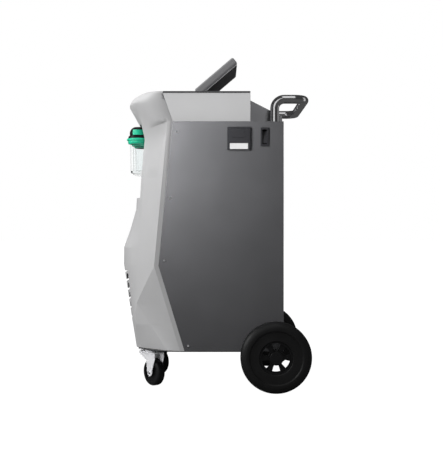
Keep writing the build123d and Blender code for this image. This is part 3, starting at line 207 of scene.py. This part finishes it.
materials = {
    "dark_sheet": powderCoat("darkSheet", coatSet["sheet"]),
    "black_steel": powderCoat("blackSteel", coatSet["tray"]),
    "light_shell": mouldedPlastic("lightShell", (0.60, 0.60, 0.605), 0.5),
    "dark_shell": mouldedPlastic("darkShell", (0.105, 0.105, 0.109), 0.5),
    "display_grey": mouldedPlastic("displayGrey", (0.35, 0.35, 0.36), 0.45),
    "black_plastic": mouldedPlastic("blackPlastic", (0.014, 0.014, 0.0155), 0.42, shine=0.22),
    "green_plastic": mouldedPlastic("greenPlastic", (0.02, 0.72, 0.42), 0.28, coat=0.4),
    "clear_plastic": clearPlastic("clearPlastic"),
    "screen_glass": screenGlass("screenGlass"),
    "paper": mouldedPlastic("paperWhite", (0.86, 0.86, 0.86), 0.8),
    "chrome_tube": polishedChrome("chromeTube"),
    "zinc": brightZinc("zincPlate"),
    "rubber_tyre": blackRubber("tyreRubber"),
    "rim_plastic": mouldedPlastic("rimPlastic", (0.008, 0.008, 0.009), 0.3),
    "brass_fitting": brightZinc("brassFitting", (0.75, 0.55, 0.26), 0.28, 0.9),
    "aluminium_block": brightZinc("aluminiumBlock", (0.72, 0.72, 0.74), 0.36),
    "tank_paint": powderCoat("tankPaint", coatSet["tank"], 0.3),
    "cast_body": powderCoat("castBody", (0.03, 0.03, 0.034), 0.5, 0.3),
}
print("materials made:", len(materials))

# Every carried-over node gets its finish
slotOf = {row["node"]: row["material_slot"] for row in frame["record"]["subparts"]}
for name, node in nodes.items():
    node.data.materials.clear()
    node.data.materials.append(materials[slotOf[name]])

bodyOf = {node: body for body, members in frame["record"]["behaviour"]["bodies"].items() for node in members}


roundingSet = {"weld": 2e-5, "flatAngle": 0.6, "softEdge": 58, "faceWeight": 100}


# Rigid parts again with the small edge rounding that moulding and folding leave
def roundedCopy(node, name, width=0.0008, angle=30, segments=2, softAbove=None, flat=False):
    mesh = nodes[node].data.copy()
    build = bmesh.new()
    build.from_mesh(mesh)
    bmesh.ops.remove_doubles(build, verts=build.verts, dist=roundingSet["weld"])
    bmesh.ops.dissolve_limit(build, angle_limit=radians(roundingSet["flatAngle"]),
                             verts=build.verts, edges=build.edges)
    weightLayer = build.edges.layers.float.new("bevel_weight_edge")
    for face in build.faces:
        face.smooth = not flat
    for edge in build.edges:
        soft = softAbove is not None and (edge.verts[0].co.z + edge.verts[1].co.z) / 2 > softAbove
        turn = edge.calc_face_angle(0)
        if soft and turn > radians(roundingSet["softEdge"]):
            edge.smooth = False
        edge[weightLayer] = 1.0 if not soft and turn > radians(angle) else 0.0
    build.to_mesh(mesh)
    build.free()
    piece = bpy.data.objects.new(name, mesh)
    scene.collection.objects.link(piece)
    if softAbove is not None:
        facets = piece.vertex_groups.new(name="facets")
        facets.add([v.index for v in mesh.vertices if v.co.z < softAbove], 1.0, "REPLACE")
    rounding = piece.modifiers.new("rounding", "BEVEL")
    rounding.width = width
    rounding.segments = segments
    rounding.limit_method = "WEIGHT"
    rounding.use_clamp_overlap = True
    if not flat:
        weights = piece.modifiers.new("weights", "WEIGHTED_NORMAL")
        weights.keep_sharp = True
        weights.weight = roundingSet["faceWeight"]
    if softAbove is not None:
        weights.vertex_group = "facets"
    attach(piece, bodyOf[node])
    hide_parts(node)
    return piece


# node: name of the copy, rounding width in metres, sharpest angle left alone, segments
roundedSet = {
    "front_cover": ("frontCoverShell", 0.0025, 9, 3),
    "top_console": ("consoleShell", 0.0015, 20, 3),
    "deck_plate": ("deckPlate", 0.0012, 30, 2),
    "side_panel_right": ("rightPanel", 0.0007, 30, 2),
    "side_panel_left": ("leftPanel", 0.0007, 30, 2),
    "display_frame": ("displayHousing", 0.002, 30, 3),
    "display_back": ("displayBack", 0.0012, 30, 2),
    "display_screen": ("displayGlass", 0.0006, 30, 2),
    "rear_hood": ("rearHood", 0.0012, 25, 2),
    "printer_housing": ("printerHousing", 0.0008, 30, 2),
    "printer_door": ("printerDoor", 0.0006, 30, 2),
    "printer_latch": ("printerLatch", 0.0004, 30, 2),
    "switch_frame": ("switchFrame", 0.0008, 30, 2),
    "power_rocker": ("powerRocker", 0.001, 30, 2),
    "rear_rim_right": ("rightRim", 0.0012, 35, 2),
    "rear_rim_left": ("leftRim", 0.0012, 35, 2),
    "rear_tyre_right": ("rightTyre", 0.0015, 25, 2),
    "rear_tyre_left": ("leftTyre", 0.0015, 25, 2),
    "caster_fork_right": ("rightFork", 0.0006, 35, 2),
    "caster_fork_left": ("leftFork", 0.0006, 35, 2),
    "base_tray": ("baseTray", 0.0006, 35, 2),
    "bottle_manifold": ("bottleManifold", 0.0012, 30, 2),
    "handle_bar": ("handleBar", 0.0005, 60, 2),
    "handle_clamps": ("handleClamps", 0.001, 40, 2),
    "caster_wheel_right": ("rightCasterWheel", 0.0006, 40, 2),
    "caster_wheel_left": ("leftCasterWheel", 0.0006, 40, 2),
    "caster_plates": ("casterPlates", 0.0006, 40, 2),
    "back_panel": ("backPanel", 0.0006, 30, 2),
}
softSet = {"front_cover": 0.872}  # height above which the cover is shaded as one smooth form
flatSet = ("display_frame", "display_back")  # flat-sided pieces
for node, (name, width, angle, segments) in roundedSet.items():
    roundedCopy(node, name, width, angle, segments, softSet.get(node), node in flatSet)
print("rounded parts:", len(roundedSet))

# Soft blend where the hood swells out of the faceted sides: the hollow between them is filled to a fillet
blendSet = {"low": 0.74, "high": 1.05, "rows": 78, "from": -4, "to": -80, "columns": 52, "nearFade": 0.04,
            "centre": (0.12, -0.15), "start": 0.6, "missed": 0.5, "passes": 160, "fade": 0.2,
            "sunk": 0.0004, "wall": 0.0012}


def hoodBlend(name, side):
    skin = nodes["front_cover"].data
    tree = BVHTree.FromPolygons([v.co for v in skin.vertices], [tuple(f.vertices) for f in skin.polygons])
    rows, columns = blendSet["rows"], blendSet["columns"]
    middle = Vector((side * blendSet["centre"][0], blendSet["centre"][1], 0))
    reach = np.zeros((rows, columns))
    ways = []
    for c in range(columns):
        turn = radians(blendSet["from"] + (blendSet["to"] - blendSet["from"]) * c / (columns - 1))
        ways.append(Vector((side * cos(turn), sin(turn), 0)))
    heights = [blendSet["low"] + (blendSet["high"] - blendSet["low"]) * r / (rows - 1) for r in range(rows)]
    for r, height in enumerate(heights):
        for c, way in enumerate(ways):
            start = middle + way * blendSet["start"] + Vector((0, 0, height))
            hit = tree.ray_cast(start, -way)[0]
            reach[r, c] = (hit - start).length if hit else blendSet["missed"]
    reach = blendSet["start"] - reach
    soft = reach.copy()
    for _ in range(blendSet["passes"]):
        soft[1:-1, 1:-1] = (soft[:-2, 1:-1] + soft[2:, 1:-1] + soft[1:-1, :-2] + soft[1:-1, 2:]) / 4
    rise = np.linspace(0, 1, rows)[:, None]
    around = np.linspace(0, 1, columns)[None, :]
    mask = np.clip(np.minimum(rise, 1 - rise) / blendSet["fade"], 0, 1)
    mask = mask * np.clip(np.minimum(around / blendSet["nearFade"], (1 - around) / blendSet["fade"]), 0, 1)
    mask = mask * mask * (3 - 2 * mask)
    final = reach - blendSet["sunk"] + mask * np.maximum(soft - reach, 0)
    build = bmesh.new()
    grid = [[build.verts.new(middle + ways[c] * float(final[r, c]) + Vector((0, 0, heights[r])))
             for c in range(columns)] for r in range(rows)]
    for r in range(rows - 1):
        for c in range(columns - 1):
            ring = [grid[r][c], grid[r + 1][c], grid[r + 1][c + 1], grid[r][c + 1]]
            build.faces.new(ring if side > 0 else ring[::-1]).smooth = True
    mesh = bpy.data.meshes.new(name)
    build.to_mesh(mesh)
    build.free()
    mesh.materials.append(materials["light_shell"])
    piece = bpy.data.objects.new(name, mesh)
    scene.collection.objects.link(piece)
    wall = piece.modifiers.new("wall", "SOLIDIFY")
    wall.thickness = blendSet["wall"]
    wall.offset = -1
    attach(piece, bodyOf["front_cover"])
    print(name, "fills up to", round(float((final - reach).max()) * 1000, 1), "mm")


hoodBlend("rightHoodBlend", 1)
hoodBlend("leftHoodBlend", -1)

# Floor and world; the ambient and side values are what the world gives to matt surfaces
stageSet = {"floorSize": 30, "floorTone": 0.12, "ambient": 0.46, "side": 0.42, "glossTone": 0.05,
            "sideFrom": (0.0, -0.8, 0.6)}


def rayMix(tree, seenBy, plain, shown):
    # The shown value for the listed kinds of ray and the plain value for every other one
    path = place(tree, "ShaderNodeLightPath")
    total = path.outputs[seenBy[0]]
    for kind in seenBy[1:]:
        higher = place(tree, "ShaderNodeMath", operation="MAXIMUM")
        tree.links.new(total, higher.inputs[0])
        tree.links.new(path.outputs[kind], higher.inputs[1])
        total = higher.outputs[0]
    mix = place(tree, "ShaderNodeMapRange")
    tree.links.new(total, mix.inputs["Value"])
    for value, socket in ((plain, "To Min"), (shown, "To Max")):
        if isinstance(value, (int, float)):
            mix.inputs[socket].default_value = value
        else:
            tree.links.new(value, mix.inputs[socket])
    return mix.outputs["Result"]


floorMesh = bpy.data.meshes.new("floor")
floorBuild = bmesh.new()
bmesh.ops.create_grid(floorBuild, x_segments=1, y_segments=1, size=stageSet["floorSize"])
floorBuild.to_mesh(floorMesh)
floorBuild.free()
floor = bpy.data.objects.new("floor", floorMesh)
scene.collection.objects.link(floor)
floorPaint, floorTree, floorShader = newMaterial("floorWhite")
tone = stageSet["floorTone"]
floorShader.inputs["Base Color"].default_value = (tone, tone, tone, 1)
floorShader.inputs["Roughness"].default_value = 0.95
floorShader.inputs["Specular IOR Level"].default_value = 0.0
floorShader.inputs["Emission Color"].default_value = (1, 1, 1, 1)
floorTree.links.new(rayMix(floorTree, ("Is Camera Ray", "Is Transmission Ray"), 0.0, 1.0),
                    floorShader.inputs["Emission Strength"])
floorMesh.materials.append(floorPaint)

world = bpy.data.worlds.new("studio")
scene.world = world
world.use_nodes = True
worldTree = world.node_tree
backdrop = worldTree.nodes["Background"]
backdrop.inputs["Color"].default_value = (1, 1, 1, 1)
direction = place(worldTree, "ShaderNodeTexCoord").outputs["Generated"]
facing = place(worldTree, "ShaderNodeVectorMath", operation="DOT_PRODUCT")
worldTree.links.new(direction, facing.inputs[0])
facing.inputs[1].default_value = stageSet["sideFrom"]
sideLight = place(worldTree, "ShaderNodeMapRange")
sideLight.inputs["From Min"].default_value = -1.0
sideLight.inputs["To Min"].default_value = stageSet["ambient"] - stageSet["side"]
sideLight.inputs["To Max"].default_value = stageSet["ambient"] + stageSet["side"]
worldTree.links.new(facing.outputs["Value"], sideLight.inputs["Value"])
glossy = rayMix(worldTree, ("Is Glossy Ray",), sideLight.outputs["Result"], stageSet["glossTone"])
whole = rayMix(worldTree, ("Is Camera Ray", "Is Transmission Ray"), glossy, 1.0)
worldTree.links.new(whole, backdrop.inputs["Strength"])

# A lamp with "only" lights just those pieces, and one with "skip" lights all but those
lampSet = {
    "keySoft": {"place": (0.9, -3.6, 2.2), "aim": (0, -0.1, 0.7), "size": (1.4, 1.4), "power": 45,
                "skip": ("handleBar", "consoleShell")},
    "topStrip": {"place": (1.3, 0.2, 2.7), "aim": (0, 0.2, 0.9), "size": (0.3, 2.2), "power": 5,
                 "skip": ("handleBar", "consoleShell")},
    "sideStrip": {"place": (2.9, -1.7, 1.2), "aim": (0, 0.2, 0.8), "size": (0.25, 1.8), "power": 5,
                  "skip": ("handleBar", "consoleShell")},
    "panelWash": {"place": (0.62, -0.42, 1.04), "aim": (0.26, -0.1, 0.92), "size": (0.3, 0.7), "power": 25,
                  "shine": False,
                  "only": ("rightPanel", "printerHousing", "printerDoor", "printerLatch",
                           "switchFrame", "powerRocker")},
    "hoodFront": {"place": (0.5, -0.95, 1.45), "aim": (0.1, -0.28, 1.0), "size": (0.5, 0.5), "power": 3.4,
                  "only": ("frontCoverShell", "rightHoodBlend", "leftHoodBlend")},
    "bottleWash": {"place": (0.8, -1.2, 1.3), "aim": (0, -0.35, 0.92), "size": (0.4, 0.4), "power": 5,
                   "only": ("lock_ring_1", "lock_ring_2", "lock_ring_3", "release_button_1",
                            "release_button_2", "release_button_3")},
    "forkWash": {"place": (1.0, -0.6, 0.3), "aim": (0.2, -0.2, 0.1), "size": (0.4, 0.4), "power": 7,
                 "only": ("rightFork", "leftFork", "casterPlates")},
    "chromeSide": {"place": (2.66, -0.6, 1.26), "aim": (0.2, 0.25, 1.0), "size": (1.7, 2.6), "power": 10.5,
                   "only": ("handleBar",)},
    "chromeBack": {"place": (0.0, 2.7, 1.3), "aim": (0.2, 0.25, 1.0), "size": (0.9, 2.6), "power": 3.5,
                   "only": ("handleBar",)},
    "chromeTop": {"place": (1.6, 0.5, 3.0), "aim": (0.2, 0.3, 1.0), "size": (0.8, 2.6), "power": 4.5,
                  "only": ("handleBar",)},
    "backSoft": {"place": (-1.2, 3.6, 2.4), "aim": (0, 0.2, 0.7), "size": (1.6, 1.6), "power": 110,
                 "only": ("backPanel", "leftPanel", "service_ports")},
    "hoodWash": {"place": (0.9, 0.5, 1.6), "aim": (0.2, 0.2, 1.0), "size": (0.3, 0.3), "power": 22,
                 "only": ("rearHood", "displayBack")},
    "consoleWash": {"place": (2.2, -0.2, 1.1), "aim": (0.26, 0.0, 1.0), "size": (0.8, 0.8), "power": 19,
                    "only": ("consoleShell", "paper_roll")},
}
for name, lamp in lampSet.items():
    data = bpy.data.lights.new(name, "AREA")
    data.shape = "RECTANGLE"
    data.size, data.size_y = lamp["size"]
    data.energy = lamp["power"]
    light = bpy.data.objects.new(name, data)
    light.location = lamp["place"]
    light.rotation_euler = (Vector(lamp["aim"]) - Vector(lamp["place"])).to_track_quat("-Z", "Y").to_euler()
    light.visible_camera = False
    light.visible_glossy = lamp.get("shine", True)
    scene.collection.objects.link(light)
    if "only" in lamp or "skip" in lamp:
        group = bpy.data.collections.new(name + "Lit")
        for member in lamp.get("only", lamp.get("skip")):
            group.objects.link(bpy.data.objects[member])
        for row in group.collection_objects:
            row.light_linking.link_state = "INCLUDE" if "only" in lamp else "EXCLUDE"
        light.light_linking.receiver_collection = group
print("stage lit")
